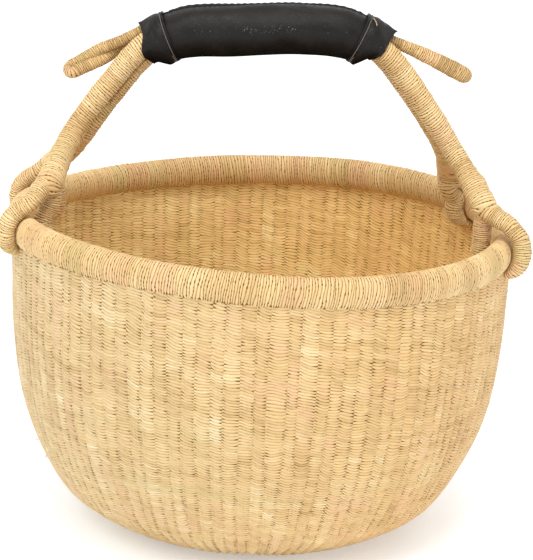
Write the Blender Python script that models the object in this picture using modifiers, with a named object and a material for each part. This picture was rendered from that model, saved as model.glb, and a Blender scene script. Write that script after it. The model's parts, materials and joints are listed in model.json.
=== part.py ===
"""Woven market basket: a round straw bowl with a coiled rim and an arched rope handle.

The origin is the centre of the base, on the floor. Z is up, the handle arches from
left (-X) to right (+X), and the front of the basket faces -Y. All sizes are in metres.
"""

import math

import bmesh
import bpy
from mathutils import Matrix, Vector

# Bowl
RIM_HEIGHT = 0.2424
WALL_THICKNESS = 0.005
FLOOR_THICKNESS = 0.006
OUTSIDE = (
    (0.0, 0.1037),
    (0.04, 0.1261),
    (0.12, 0.1539),
    (0.25, 0.1733),
    (0.42, 0.1883),
    (0.65, 0.1967),
    (0.92, 0.1989),
)  # height as a share of the rim's height, and the outer radius there
RING_STEPS = 48

# Rim
RIM_OUTER_RADIUS = 0.203
RIM_HALF_WIDTH = 0.0091
RIM_HALF_HEIGHT = 0.01235
RIM_WRAP_THICKNESS = 0.0018
RIM_RADIUS = RIM_OUTER_RADIUS - RIM_HALF_WIDTH
SADDLE = 0.0038  # the hand-woven rim is higher at front left and back right

# Handle rope
STRAND_RADIUS = 0.0085
LEG_RADIUS = 0.0074
TUCKED_RADIUS = 0.0032  # where a loop is pressed flat under the rim
EAR_RADIUS = 0.0046
WRAP_THICKNESS = 0.0015
TAIL_DROP = 0.0130  # how far below the crotch a loop's inner leg ends
LOOP_PLAY = 0.0008  # between a loop and the rim it goes round
LOOP_TURNS = range(66, -199, -24)  # a loop's places round the rim's section, in degrees
HINGE_HEIGHT = 0.306
BARREL_RADIUS = 0.0176
PAIR_DEPTH = 0.0077  # each strand's distance from the handle's middle plane
PAIR_LEAN = 0.0041  # how far the front strand lies outside that plane's line

# Handle arch: the points that the middle of the arms and the grip passes through
ARCH = (
    (-0.1600, 0.2880),
    (-0.1510, 0.3060),
    (-0.1350, 0.3310),
    (-0.1170, 0.3550),
    (-0.0960, 0.3800),
    (-0.0680, 0.3945),
    (-0.0200, 0.3990),
    (0.0260, 0.4020),
    (0.0600, 0.3995),
    (0.0890, 0.3840),
    (0.1110, 0.3590),
    (0.1305, 0.3320),
    (0.1485, 0.3060),
    (0.1580, 0.2880),
)

# Leather grip
GRIP_ENDS = (-0.0960, 0.0905)
CUFF_LENGTHS = {"left": 0.0185, "right": 0.0225}
CUFF_OVERLAP = 0.006
GRIP_RADIUS = 0.0197
GRIP_END_RADIUS = 0.0182
CUFF_RADIUS = 0.0206
LEATHER_THICKNESS = 0.0013
THREAD_RADIUS = 0.0005
STITCH_LIFT = 0.0004
GRIP_ENTRY = 0.0087  # distance of a thick strand from the grip's middle line, at the mouth
GRIP_EXIT = 0.0141  # the same for a thin ear strand
# Bearings in the grip's section, in degrees from the back towards the top: where each
# strand goes in thick and where it comes out thin. All four turn the same way.
GRIP_TURNS = {
    ("left", "front"): (152.0, 41.0),
    ("left", "back"): (332.0, 82.0),
    ("right", "front"): (-208.0, 41.0),
    ("right", "back"): (-28.0, 82.0),
}
WRAP_TUCK = 0.3  # how far the arm and ear wraps go into the leather, as a share of a span

# Ears: the closed ends of the rope, which stand out past the leather. Each has the
# vector from the mouth to its tip, and the way its two strands lie apart there.
EARS = {
    "left": ((-0.052, -0.004, -0.028), (0.0, 0.95, 0.30)),
    "right": ((0.053, -0.004, -0.0215), (0.0, 0.35, 0.94)),
}

GAP = 0.0003
CORE_FIT = 0.92
MERGE = 0.00005

# Where each rope loop goes round the rim: outer leg's and inner leg's direction, in
# degrees from +X towards +Y, and the crotch's place from the rim's middle (outward, up).
LOOPS = {
    "left_front": (201.5, 197.0, -0.0190, 0.0335),
    "left_back": (162.5, 161.0, -0.0150, 0.0310),
    "right_front": (-16.5, -15.0, -0.0100, 0.0350),
    "right_back": (25.0, 26.5, -0.0210, 0.0290),
}

STRAW = (0.76, 0.55, 0.30, 1.0)
STRAW_PALE = (0.82, 0.62, 0.37, 1.0)
GRASS_CORE = (0.58, 0.44, 0.22, 1.0)
LEATHER = (0.028, 0.025, 0.023, 1.0)
THREAD = (0.42, 0.36, 0.28, 1.0)


def clear_scene():
    for obj in list(bpy.data.objects):
        bpy.data.objects.remove(obj)


def collection(name, hidden=False):
    made = bpy.data.collections.new(name)
    bpy.context.scene.collection.children.link(made)
    made.hide_render = hidden
    return made


def finish_material(name, colour, roughness):
    mat = bpy.data.materials.new(name)
    mat.use_nodes = True
    shader = mat.node_tree.nodes["Principled BSDF"]
    shader.inputs["Base Color"].default_value = colour
    shader.inputs["Roughness"].default_value = roughness
    shader.inputs["Metallic"].default_value = 0.0
    mat.diffuse_color = colour
    return mat


def smooth_path(points, steps):
    """Points along a Catmull-Rom curve through the given ones, `steps` to each span."""
    pts = [Vector(p) for p in points]
    pts = [2 * pts[0] - pts[1]] + pts + [2 * pts[-1] - pts[-2]]
    path = []
    for a, b, c, d in zip(pts, pts[1:], pts[2:], pts[3:]):
        for k in range(steps):
            t = k / steps
            path.append(
                0.5 * (2 * b + (c - a) * t + (2 * a - 5 * b + 4 * c - d) * t**2
                       + (3 * b - a - 3 * c + d) * t**3)
            )
    path.append(pts[-2].copy())
    return path


def lerp(a, b, t):
    return a + (b - a) * t


def saddle(x, y, z):
    """How far hand shaping lifts the basket at a place."""
    return SADDLE * math.sin(2 * math.atan2(y, x)) * min(z / RIM_HEIGHT, 1.0) ** 2


def place(obj, group, mat):
    obj.data.materials.clear()
    obj.data.materials.append(mat)
    group.objects.link(obj)
    return obj


def rope_mesh(name, path, radii, capped, sides):
    """The mesh of a round bevelled curve, with its caps welded on."""
    curve = bpy.data.curves.new(name, "CURVE")
    curve.dimensions = "3D"
    curve.twist_mode = "MINIMUM"
    curve.bevel_depth = 1.0
    curve.bevel_resolution = (sides - 4) // 2
    curve.use_fill_caps = capped
    spline = curve.splines.new("POLY")
    spline.points.add(len(path) - 1)
    for point, co, radius in zip(spline.points, path, radii):
        point.co = (*co, 1.0)
        point.radius = radius
    guide = bpy.data.objects.new(name + "_curve", curve)
    bpy.context.scene.collection.objects.link(guide)
    graph = bpy.context.evaluated_depsgraph_get()
    mesh = bpy.data.meshes.new_from_object(guide.evaluated_get(graph))
    mesh.name = name
    mesh.transform(guide.matrix_world)
    bpy.data.objects.remove(guide)
    bm = bmesh.new()
    bm.from_mesh(mesh)
    bmesh.ops.remove_doubles(bm, verts=bm.verts, dist=MERGE)
    bmesh.ops.recalc_face_normals(bm, faces=bm.faces)
    bm.to_mesh(mesh)
    bm.free()
    mesh.shade_smooth()
    mesh.set_sharp_from_angle(angle=math.radians(50))
    return mesh


def rope(name, path, radii, group, mat, sides=8):
    """A solid round rope."""
    mesh = rope_mesh(name, path, radii, True, sides)
    return place(bpy.data.objects.new(name, mesh), group, mat)


def sleeve(name, path, radii, thickness, group, mat, sides=8):
    """A wrap round a rope: an open tube that Solidify thickens inwards."""
    mesh = rope_mesh(name, path, radii, False, sides)
    obj = place(bpy.data.objects.new(name, mesh), group, mat)
    shell = obj.modifiers.new("thickness", "SOLIDIFY")
    shell.thickness = thickness
    shell.offset = -1.0
    shell.use_even_offset = True
    return obj


def turned(name, profile, closed, group, mat):
    """A profile in the XZ plane turned round Z, then given the basket's hand-made saddle."""
    mesh = bpy.data.meshes.new(name)
    bm = bmesh.new()
    verts = [bm.verts.new((x, 0.0, z)) for x, z in profile]
    for a, b in zip(verts, verts[1:]):
        bm.edges.new((a, b))
    if closed:
        bm.edges.new((verts[-1], verts[0]))
    bm.to_mesh(mesh)
    bm.free()
    blank = bpy.data.objects.new(name + "_profile", mesh)
    bpy.context.scene.collection.objects.link(blank)
    screw = blank.modifiers.new("turn", "SCREW")
    screw.steps = RING_STEPS
    screw.render_steps = RING_STEPS
    screw.use_merge_vertices = True
    screw.merge_threshold = MERGE
    screw.use_smooth_shade = True
    graph = bpy.context.evaluated_depsgraph_get()
    solid = bpy.data.meshes.new_from_object(blank.evaluated_get(graph))
    bpy.data.objects.remove(blank)
    bm = bmesh.new()
    bm.from_mesh(solid)
    bmesh.ops.remove_doubles(bm, verts=bm.verts, dist=MERGE)
    bmesh.ops.recalc_face_normals(bm, faces=bm.faces)
    for v in bm.verts:
        v.co.z += saddle(*v.co)
    bm.to_mesh(solid)
    bm.free()
    solid.name = name
    solid.shade_smooth()
    solid.set_sharp_from_angle(angle=math.radians(50))
    return place(bpy.data.objects.new(name, solid), group, mat)


def cut(obj, cutter):
    step = obj.modifiers.new("cut_" + cutter.name, "BOOLEAN")
    step.operation = "DIFFERENCE"
    step.solver = "EXACT"
    step.object = cutter


def core_radius(wrap_radius):
    """The grass bundle that fits inside a faceted wrap of the given radius."""
    return (wrap_radius - WRAP_THICKNESS) * CORE_FIT - GAP


def oval(degrees, half_width, half_height, reach=0.0):
    """A place on the rim's oval section, or `reach` outside it: (outward, up)."""
    t = math.radians(degrees)
    across = half_width * math.cos(t)
    up = half_height * math.sin(t)
    normal = Vector((math.cos(t) / half_width, math.sin(t) / half_height)).normalized()
    return across + normal.x * reach, up + normal.y * reach


# Bowl and rim


def bowl_profile():
    """From the floor's middle up the inside, over the edge and down the outside."""
    outer = smooth_path([(r, share * RIM_HEIGHT) for share, r in OUTSIDE], 2)
    top = RIM_HEIGHT - RIM_HALF_HEIGHT + RIM_WRAP_THICKNESS
    outer.append(Vector((OUTSIDE[-1][1], top)))
    inner = []
    for k, point in enumerate(outer[2:-1], start=2):
        along = outer[k + 1] - outer[k - 1]
        inward = Vector((-along.y, along.x)).normalized()
        inner.append(point + inward * WALL_THICKNESS)
    inner.append(Vector((OUTSIDE[-1][1] - WALL_THICKNESS, top)))
    inner = [p for p in inner if p.y > FLOOR_THICKNESS * 1.5]
    floor_edge = Vector((inner[0].x - WALL_THICKNESS, FLOOR_THICKNESS))
    inside = [Vector((0.0, FLOOR_THICKNESS)), floor_edge] + inner
    return inside + outer[::-1] + [Vector((0.0, 0.0))]


def rim_wrap_profile():
    """An oval band, open below where the wall's edge comes up into it."""
    wall_out = OUTSIDE[-1][1] - RIM_RADIUS + GAP
    wall_in = OUTSIDE[-1][1] - WALL_THICKNESS - RIM_RADIUS - GAP
    start = math.degrees(math.acos(wall_out / RIM_HALF_WIDTH))
    stop = math.degrees(math.acos(wall_in / RIM_HALF_WIDTH))
    inner_width = RIM_HALF_WIDTH - RIM_WRAP_THICKNESS
    inner_height = RIM_HALF_HEIGHT - RIM_WRAP_THICKNESS
    steps = 12
    outside = []
    inside = []
    for k in range(steps + 1):
        degrees = lerp(-start, 360.0 - stop, k / steps)
        outside.append(oval(degrees, RIM_HALF_WIDTH, RIM_HALF_HEIGHT))
    start = math.degrees(math.acos(wall_out / inner_width))
    stop = math.degrees(math.acos(wall_in / inner_width))
    for k in range(steps + 1):
        degrees = lerp(-start, 360.0 - stop, k / steps)
        inside.append(oval(degrees, inner_width, inner_height))
    ring = outside + inside[::-1]
    return [(RIM_RADIUS + x, RIM_HEIGHT + z) for x, z in ring]


def rim_core_profile():
    half_width = RIM_HALF_WIDTH - RIM_WRAP_THICKNESS - GAP
    half_height = RIM_HALF_HEIGHT - RIM_WRAP_THICKNESS - GAP
    ring = [oval(30.0 * k, half_width, half_height) for k in range(12)]
    return [(RIM_RADIUS + x, RIM_HEIGHT + z) for x, z in ring]


def make_bowl_and_rim(group, straw, pale, grass):
    bowl = turned("bowl_weave", bowl_profile(), False, group, straw)
    turned("rim_wrap", rim_wrap_profile(), True, group, pale)
    turned("rim_core", rim_core_profile(), True, group, grass)
    return bowl


# Handle rope: the loops round the rim


def fork_x(side):
    """Where the arm of a side crosses the hinge's height."""
    return ARCH[1][0] if side == "left" else ARCH[-2][0]


def loop_path(name):
    """A rope from the fork over the rim, down outside, through the wall and back up."""
    side, depth = name.split("_")
    outer_angle, inner_angle, crotch_across, crotch_up = LOOPS[name]
    around = []
    for degrees in LOOP_TURNS:
        reach = leg_radius(degrees) + LOOP_PLAY
        bearing = lerp(outer_angle, inner_angle, min(1.0, max(0.0, -degrees / 90.0)))
        around.append((bearing, *oval(degrees, RIM_HALF_WIDTH, RIM_HALF_HEIGHT, reach)))
    first = around[0]
    last = around[-1]
    over = (outer_angle, lerp(crotch_across, first[1], 0.5), lerp(crotch_up, first[2], 0.42))
    tail = (inner_angle, lerp(last[1], crotch_across, 0.3), crotch_up - TAIL_DROP)
    local = [(inner_angle, crotch_across, crotch_up), over] + around + [tail]
    path = []
    for degrees, across, up in local:
        bearing = math.radians(degrees)
        radius = RIM_RADIUS + across
        x = radius * math.cos(bearing)
        y = radius * math.sin(bearing)
        path.append(Vector((x, y, RIM_HEIGHT + up + saddle(x, y, RIM_HEIGHT))))
    sign = -1.0 if depth == "front" else 1.0
    crotch = path[0]
    fork = Vector((fork_x(side), sign * 0.004, HINGE_HEIGHT - 0.003))
    neck = [fork.lerp(crotch, t) for t in (0.0, 0.35, 0.7)]
    return neck + path


def leg_radius(degrees):
    """A loop's thickness round the rim: full beside it, pressed thin where it passes below."""
    below = max(0.0, -math.sin(math.radians(degrees)))
    return lerp(LEG_RADIUS, TUCKED_RADIUS, below**2)


def loop_radii():
    """Thick at the fork, thinner once the rope is round the rim, thinnest below it."""
    radii = [STRAND_RADIUS] * 4
    radii.append((STRAND_RADIUS + LEG_RADIUS) / 2)
    radii += [leg_radius(degrees) for degrees in LOOP_TURNS]
    radii.append(LEG_RADIUS)
    return radii


def make_loops(group, cutters, bowl, pale, grass):
    bpy.ops.mesh.primitive_cylinder_add(
        vertices=32, radius=BARREL_RADIUS + 2 * GAP, depth=0.5,
        location=(0.0, 0.0, HINGE_HEIGHT), rotation=(0.0, math.pi / 2, 0.0),
    )
    barrel = bpy.context.object
    barrel.name = "barrel_cutter"
    move_to(barrel, cutters)
    for name in LOOPS:
        path = loop_path(name)
        radii = loop_radii()
        wrap = sleeve(name + "_loop_wrap", path, radii, WRAP_THICKNESS, group, pale)
        core = rope(name + "_loop_core", path, [core_radius(r) for r in radii], group, grass)
        cut(wrap, barrel)
        cut(core, barrel)
        hole = rope(name + "_hole_cutter", path, [r + 1.5 * GAP for r in radii], cutters, grass)
        as_cutter(hole)
        cut(bowl, hole)


def as_cutter(obj):
    obj.hide_render = True
    obj.display_type = "WIRE"


def move_to(obj, group):
    for old in list(obj.users_collection):
        old.objects.unlink(obj)
    group.objects.link(obj)
    as_cutter(obj)


# Handle rope: the arms, the run through the grip, and the ears


def arch_frames():
    """Closely spaced places on the arch, each with its way along and its upward normal."""
    line = smooth_path([(x, 0.0, z) for x, z in ARCH], 16)
    frames = []
    for k, spot in enumerate(line):
        ahead = line[min(k + 1, len(line) - 1)]
        behind = line[max(k - 1, 0)]
        along = (ahead - behind).normalized()
        frames.append((spot, Vector((-along.z, 0.0, along.x))))
    return frames


def on_arch(frames, x, depth, lift):
    """A place beside the arch where it passes x: `depth` behind it, `lift` above it."""
    k = 1
    while k < len(frames) - 1 and frames[k][0].x < x:
        k += 1
    a, normal_a = frames[k - 1]
    b, normal_b = frames[k]
    t = (x - a.x) / (b.x - a.x)
    normal = normal_a.lerp(normal_b, t).normalized()
    return a.lerp(b, t) + Vector((0.0, depth, 0.0)) + normal * lift


def mouth_x(side, inset=0.0):
    return GRIP_ENDS[0] + inset if side == "left" else GRIP_ENDS[1] - inset


def arm_points(frames, side, depth, steps=8):
    """One strand of one arm, from below the fork up to the grip's mouth."""
    sign = -1.0 if depth == "front" else 1.0
    bottom = ARCH[0][0] if side == "left" else ARCH[-1][0]
    points = []
    for k in range(steps + 1):
        x = lerp(bottom, mouth_x(side), k / steps)
        points.append(on_arch(frames, x, sign * PAIR_DEPTH, -sign * PAIR_LEAN))
    return points


def in_grip(frames, x, bearing, distance):
    turn = math.radians(bearing)
    return on_arch(frames, x, distance * math.cos(turn), distance * math.sin(turn))


def grip_points(frames, side, depth, steps=9):
    """One strand's run through the grip, where all four turn together."""
    other = "right" if side == "left" else "left"
    enter, leave = GRIP_TURNS[(side, depth)]
    points = []
    for k in range(1, steps):
        t = k / steps
        x = lerp(mouth_x(side), mouth_x(other), t)
        distance = lerp(GRIP_ENTRY, GRIP_EXIT, t)
        points.append(in_grip(frames, x, lerp(enter, leave, t), distance))
    return points


def ear_points(frames, ear, steps=5):
    """The hairpin: out along the strand that came through in front, and back."""
    other = "right" if ear == "left" else "left"
    first = in_grip(frames, mouth_x(ear), GRIP_TURNS[(other, "front")][1], GRIP_EXIT)
    second = in_grip(frames, mouth_x(ear), GRIP_TURNS[(other, "back")][1], GRIP_EXIT)
    root = (first + second) / 2
    apart = (first - second).normalized()
    reach = Vector(EARS[ear][0])
    apart_at_tip = Vector(EARS[ear][1]).normalized()
    spread = EAR_RADIUS + GAP
    out = []
    back = []
    for k in range(steps):
        t = k / steps
        way = apart.lerp(apart_at_tip, t * t * (3 - 2 * t)).normalized()
        centre = root + reach * t
        out.append(centre + way * spread)
        back.append(centre - way * spread)
    ahead = reach.normalized()
    side_way = (apart_at_tip - ahead * apart_at_tip.dot(ahead)).normalized()
    bend = []
    for degrees in range(90, -91, -36):
        turn = math.radians(degrees)
        bend.append(root + reach + (side_way * math.sin(turn) + ahead * math.cos(turn)) * spread)
    return out + bend + back[::-1]


def make_rope_core(frames, side, group, mat, cutter):
    """The grass bundle that runs up an arm, through the grip, round an ear and back."""
    other = "right" if side == "left" else "left"
    legs = []
    for depth in ("front", "back"):
        arm = arm_points(frames, side, depth)
        legs.append(arm + grip_points(frames, side, depth))
    ear = ear_points(frames, other)
    path = legs[0] + ear + legs[1][::-1]
    arm_count = len(arm_points(frames, side, "front"))
    grip_count = len(legs[0]) - arm_count
    thick = core_radius(STRAND_RADIUS)
    thin = core_radius(EAR_RADIUS)
    leg_radii = [thick] * arm_count
    leg_radii += [lerp(thick, thin, (k + 1) / (grip_count + 1)) for k in range(grip_count)]
    radii = leg_radii + [thin] * len(ear) + leg_radii[::-1]
    core = rope(side + "_rope_core", path, radii, group, mat)
    cut(core, cutter)


def knuckle_cutter(cutters, grass):
    """A block under the hinge with a round trough, which leaves a barrel on the arms."""
    half = 0.05
    outline = [(-half, 0.0)]
    for k in range(17):
        turn = math.pi + math.pi * k / 16
        outline.append((BARREL_RADIUS * math.cos(turn), BARREL_RADIUS * math.sin(turn)))
    outline += [(half, 0.0), (half, -half), (-half, -half)]
    curve = bpy.data.curves.new("knuckle_cutter", "CURVE")
    curve.dimensions = "2D"
    curve.fill_mode = "BOTH"
    curve.extrude = 0.25
    spline = curve.splines.new("POLY")
    spline.points.add(len(outline) - 1)
    for point, (x, y) in zip(spline.points, outline):
        point.co = (x, y, 0.0, 1.0)
    spline.use_cyclic_u = True
    guide = bpy.data.objects.new("knuckle_curve", curve)
    bpy.context.scene.collection.objects.link(guide)
    graph = bpy.context.evaluated_depsgraph_get()
    mesh = bpy.data.meshes.new_from_object(guide.evaluated_get(graph))
    bpy.data.objects.remove(guide)
    bm = bmesh.new()
    bm.from_mesh(mesh)
    bmesh.ops.remove_doubles(bm, verts=bm.verts, dist=MERGE)
    to_world = Matrix(((0.0, 0.0, 1.0, 0.0), (1.0, 0.0, 0.0, 0.0), (0.0, 1.0, 0.0, HINGE_HEIGHT),
                       (0.0, 0.0, 0.0, 1.0)))
    bmesh.ops.transform(bm, matrix=to_world, verts=bm.verts)
    bmesh.ops.recalc_face_normals(bm, faces=bm.faces)
    bm.to_mesh(mesh)
    bm.free()
    cutter = place(bpy.data.objects.new("knuckle_cutter", mesh), cutters, grass)
    as_cutter(cutter)
    return cutter


def make_arms_and_ears(frames, group, cutters, pale, grass):
    knuckle = knuckle_cutter(cutters, grass)
    for side in ("left", "right"):
        make_rope_core(frames, side, group, grass, knuckle)
        for depth in ("front", "back"):
            path = arm_points(frames, side, depth)
            path.append(path[-1].lerp(grip_points(frames, side, depth)[0], WRAP_TUCK))
            radii = [STRAND_RADIUS] * len(path)
            name = f"{side}_{depth}_arm_wrap"
            wrap = sleeve(name, path, radii, WRAP_THICKNESS, group, pale)
            cut(wrap, knuckle)
        path = ear_points(frames, side)
        other = "right" if side == "left" else "left"
        inside_front = grip_points(frames, other, "front")[-1]
        inside_back = grip_points(frames, other, "back")[-1]
        path.insert(0, path[0].lerp(inside_front, WRAP_TUCK))
        path.append(path[-1].lerp(inside_back, WRAP_TUCK))
        sleeve(side + "_ear_wrap", path, [EAR_RADIUS] * len(path), WRAP_THICKNESS, group, pale)


# Leather


def leather_tube(name, frames, start, stop, radii, thickness, group, mat):
    steps = len(radii) - 1
    path = [on_arch(frames, lerp(start, stop, k / steps), 0.0, 0.0) for k in range(steps + 1)]
    return sleeve(name, path, radii, thickness, group, mat, sides=16)


def make_leather(frames, group, leather, thread):
    start = mouth_x("left", CUFF_LENGTHS["left"] - CUFF_OVERLAP)
    stop = mouth_x("right", CUFF_LENGTHS["right"] - CUFF_OVERLAP)
    radii = [GRIP_RADIUS] * 13
    radii[0] = radii[-1] = GRIP_END_RADIUS
    radii[1] = radii[-2] = (GRIP_END_RADIUS + GRIP_RADIUS) / 2
    leather_tube("leather_grip", frames, start, stop, radii, LEATHER_THICKNESS, group, leather)
    for side in ("left", "right"):
        radii = [CUFF_RADIUS] * 5
        mouth = mouth_x(side)
        inner = mouth_x(side, CUFF_LENGTHS[side])
        leather_tube(side + "_cuff", frames, mouth, inner, radii, LEATHER_THICKNESS, group, leather)
        ring_at = mouth_x(side, CUFF_LENGTHS[side] - 0.002)
        ring = []
        for k in range(16):
            bearing = 360.0 * k / 16
            distance = CUFF_RADIUS + THREAD_RADIUS + STITCH_LIFT
            ring.append(in_grip(frames, ring_at, bearing, distance))
        ring_rope(side + "_cuff_thread", ring, THREAD_RADIUS, group, thread)
    seam = []
    first = mouth_x("left", CUFF_LENGTHS["left"] + 0.003)
    last = mouth_x("right", CUFF_LENGTHS["right"] + 0.003)
    for k in range(15):
        x = lerp(first, last, k / 14)
        seam.append(in_grip(frames, x, 78.0, GRIP_RADIUS + THREAD_RADIUS + STITCH_LIFT))
    rope("grip_seam_thread", seam, [THREAD_RADIUS] * len(seam), group, thread)


def ring_rope(name, ring, radius, group, mat):
    """A closed loop of thread."""
    curve = bpy.data.curves.new(name, "CURVE")
    curve.dimensions = "3D"
    curve.bevel_depth = radius
    curve.bevel_resolution = 1
    spline = curve.splines.new("POLY")
    spline.points.add(len(ring) - 1)
    for point, co in zip(spline.points, ring):
        point.co = (*co, 1.0)
    spline.use_cyclic_u = True
    place(bpy.data.objects.new(name, curve), group, mat)


def main():
    clear_scene()
    basket = collection("woven_market_basket")
    cutters = collection("cutters", hidden=True)
    straw = finish_material("straw_weave", STRAW, 0.75)
    pale = finish_material("straw_wrap", STRAW_PALE, 0.7)
    grass = finish_material("grass_core", GRASS_CORE, 0.85)
    leather = finish_material("black_leather", LEATHER, 0.42)
    thread = finish_material("waxed_thread", THREAD, 0.6)
    frames = arch_frames()
    bowl = make_bowl_and_rim(basket, straw, pale, grass)
    make_loops(basket, cutters, bowl, pale, grass)
    make_arms_and_ears(frames, basket, cutters, pale, grass)
    make_leather(frames, basket, leather, thread)


main()
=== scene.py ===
"""The looks of the woven market basket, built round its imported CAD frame.

Every straw surface is swept or woven in mesh code: twined floats on the bowl, wound turns
on the rim and ropes, leather shrunk round the strands that it holds. Metres, Z up, front -Y.
"""

import json
import math
from dataclasses import dataclass
from functools import partial

import bpy
import numpy as np
from mathutils import Matrix, Vector


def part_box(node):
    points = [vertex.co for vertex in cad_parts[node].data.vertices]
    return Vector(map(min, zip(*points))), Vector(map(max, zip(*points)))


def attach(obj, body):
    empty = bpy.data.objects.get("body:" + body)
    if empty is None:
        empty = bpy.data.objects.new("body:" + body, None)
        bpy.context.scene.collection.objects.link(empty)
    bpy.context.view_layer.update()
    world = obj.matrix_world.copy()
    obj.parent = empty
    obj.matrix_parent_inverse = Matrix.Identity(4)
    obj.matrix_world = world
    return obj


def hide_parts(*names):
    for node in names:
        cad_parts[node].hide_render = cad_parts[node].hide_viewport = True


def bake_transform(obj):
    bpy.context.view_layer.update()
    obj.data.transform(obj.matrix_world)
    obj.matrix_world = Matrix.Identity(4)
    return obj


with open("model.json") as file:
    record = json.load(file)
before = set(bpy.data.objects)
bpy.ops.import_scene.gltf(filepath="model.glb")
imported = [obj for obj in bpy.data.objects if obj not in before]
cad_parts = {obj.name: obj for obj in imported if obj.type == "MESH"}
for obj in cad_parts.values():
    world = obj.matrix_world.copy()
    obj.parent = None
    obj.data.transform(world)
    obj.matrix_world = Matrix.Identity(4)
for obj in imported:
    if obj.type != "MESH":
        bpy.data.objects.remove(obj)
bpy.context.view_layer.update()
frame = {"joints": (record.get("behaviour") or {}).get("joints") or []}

# Sizes taken from the frame
rim_low, rim_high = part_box("rim_wrap")
RIM_OUTER_RADIUS = rim_high.x
RIM_HEIGHT = (rim_low.z + rim_high.z) / 2
HINGE_HEIGHT = frame["joints"][0]["pos_m"][2]

# Bowl and rim, with the sizes of the CAD
RIM_HALF_WIDTH = 0.0091
RIM_HALF_HEIGHT = 0.01235
RIM_RADIUS = RIM_OUTER_RADIUS - RIM_HALF_WIDTH
SADDLE = 0.0038
OUTSIDE = (  # share of the height, and radius
    (0.0, 0.1037), (0.04, 0.1261), (0.12, 0.1539), (0.25, 0.1733),
    (0.42, 0.1883), (0.65, 0.1967), (0.92, 0.1989),
)
WALL_THICKNESS = 0.0045
WEAVE_TOP = RIM_HEIGHT - RIM_HALF_HEIGHT + 0.004
SKIN = 0.0001  # the wound straw starts this far inside the CAD's surface

# Weave: stakes round the bowl, and rows up it
COLUMNS = 112
ROW_PITCH = 0.0024
COLUMN_SAMPLES = 4

# Handle
ARCH = (  # x and z, from left to right
    (-0.1600, 0.2880), (-0.1510, 0.3060), (-0.1350, 0.3310), (-0.1170, 0.3550),
    (-0.0960, 0.3800), (-0.0680, 0.3945), (-0.0200, 0.3990), (0.0260, 0.4020),
    (0.0600, 0.3995), (0.0890, 0.3840), (0.1110, 0.3590), (0.1305, 0.3320),
    (0.1485, 0.3060), (0.1580, 0.2880),
)
INWARD = {"left": 1.0, "right": -1.0}
BACKWARD = {"front": -1.0, "back": 1.0}
MOUTHS = {"left": -0.0960, "right": 0.0905}
PAIR_DEPTH = {"left": 0.0077, "right": 0.0083}
PAIR_LEAN = {"left": 0.0041, "right": 0.0024}
STRAND_RADIUS = 0.0085
NECK_THICKNESS = 0.0082
LEG_WIDTH = 0.0080
LEG_THICKNESS = 0.0068
TUCKED_THICKNESS = 0.0029
LEG_TURNS = range(66, -199, -24)  # degrees round the rim's section


@dataclass
class Loop:
    """One rope's end: its neck, the crotch over the rim, and two legs round the rim."""

    outer: float  # bearings of the two legs, in degrees
    inner: float
    across: float  # the crotch, from the middle of the rim
    up: float
    neck_width: float
    inner_spread: float
    outer_spread: float = 0.0062
    outer_shift: float = 0.0
    over: float = 0.0115
    over_drop: float = 0.0060
    rise: float = 0.0
    slack: float = 0.0
    neck_length: float = 0.026
    tail: float = 0.0085
    bend: tuple = (-0.003, 0.008, 0.022)  # low, high and end of the bend, past the fork


LOOPS = {
    "left_front": Loop(201.5, 197.0, -0.0190, 0.0335, 0.0108, 0.0065),
    "left_back": Loop(163.5, 162.6, -0.0150, 0.0310, 0.0095, -0.0040),
    "right_front": Loop(-16.5, -15.0, -0.0160, 0.0350, 0.0100, -0.0002, outer_spread=0.0005,
                        over=0.0190, rise=-0.0010, slack=0.0040),
    "right_back": Loop(25.0, 26.5, -0.0210, 0.0275, 0.0126, 0.0055, outer_spread=0.0060,
                       outer_shift=4.5, over=0.0090, over_drop=0.0100, rise=0.0010,
                       neck_length=0.042, tail=0.0120, bend=(0.004, 0.017, 0.032)),
}
LACINGS = 19
LACING_SIZES = (0.0008, 0.0007)
TURN_PITCH = 0.0017
RIM_PITCH = 0.0021
STRAND_PITCH = 0.0020
EAR_PITCH = 0.0016
ROWS_PER_TURN = 4
TURN_WANDER = 0.16
UP = np.array([0.0, 0.0, 1.0])
BACK = np.array([0.0, 1.0, 0.0])
START_RANGE = 6.283  # about a whole turn, for the random starts of waves


# Mesh helpers


def lerp(a, b, t):
    return a + (b - a) * t


def smoothstep(low, high, x):
    t = np.clip((x - low) / (high - low), 0.0, 1.0)
    return t * t * (3 - 2 * t)


def saddle(x, y, z):
    lift = np.minimum(z / RIM_HEIGHT, 1.0) ** 2
    return SADDLE * np.sin(2 * np.arctan2(y, x)) * lift


def dense_curve(points, per_span=24):
    """A centripetal Catmull-Rom curve through the points, as closely spaced places."""
    pts = np.array(points, float)
    pts = np.vstack([2 * pts[0] - pts[1], pts, 2 * pts[-1] - pts[-2]])
    share = np.linspace(0.0, 1.0, per_span, endpoint=False)[:, None]
    spans = []
    for a, b, c, d in zip(pts, pts[1:], pts[2:], pts[3:]):
        gaps = [max(np.linalg.norm(q - p), 1e-9) ** 0.5 for p, q in ((a, b), (b, c), (c, d))]
        ka, kb, kc, kd = np.cumsum([0.0] + gaps)
        k = lerp(kb, kc, share)
        ab = lerp(a, b, (k - ka) / (kb - ka))
        bc = lerp(b, c, (k - kb) / (kc - kb))
        cd = lerp(c, d, (k - kc) / (kd - kc))
        abc = lerp(ab, bc, (k - ka) / (kc - ka))
        bcd = lerp(bc, cd, (k - kb) / (kd - kb))
        spans.append(lerp(abc, bcd, (k - kb) / (kc - kb)))
    return np.vstack(spans + [pts[-2:-1]])


def ring_of(angle):
    """The ways out at angles, in radians, as (cos, sin)."""
    return np.stack([np.cos(angle), np.sin(angle)], axis=-1)


def unit(v):
    return v / np.maximum(np.linalg.norm(v, axis=-1, keepdims=True), 1e-12)


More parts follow.
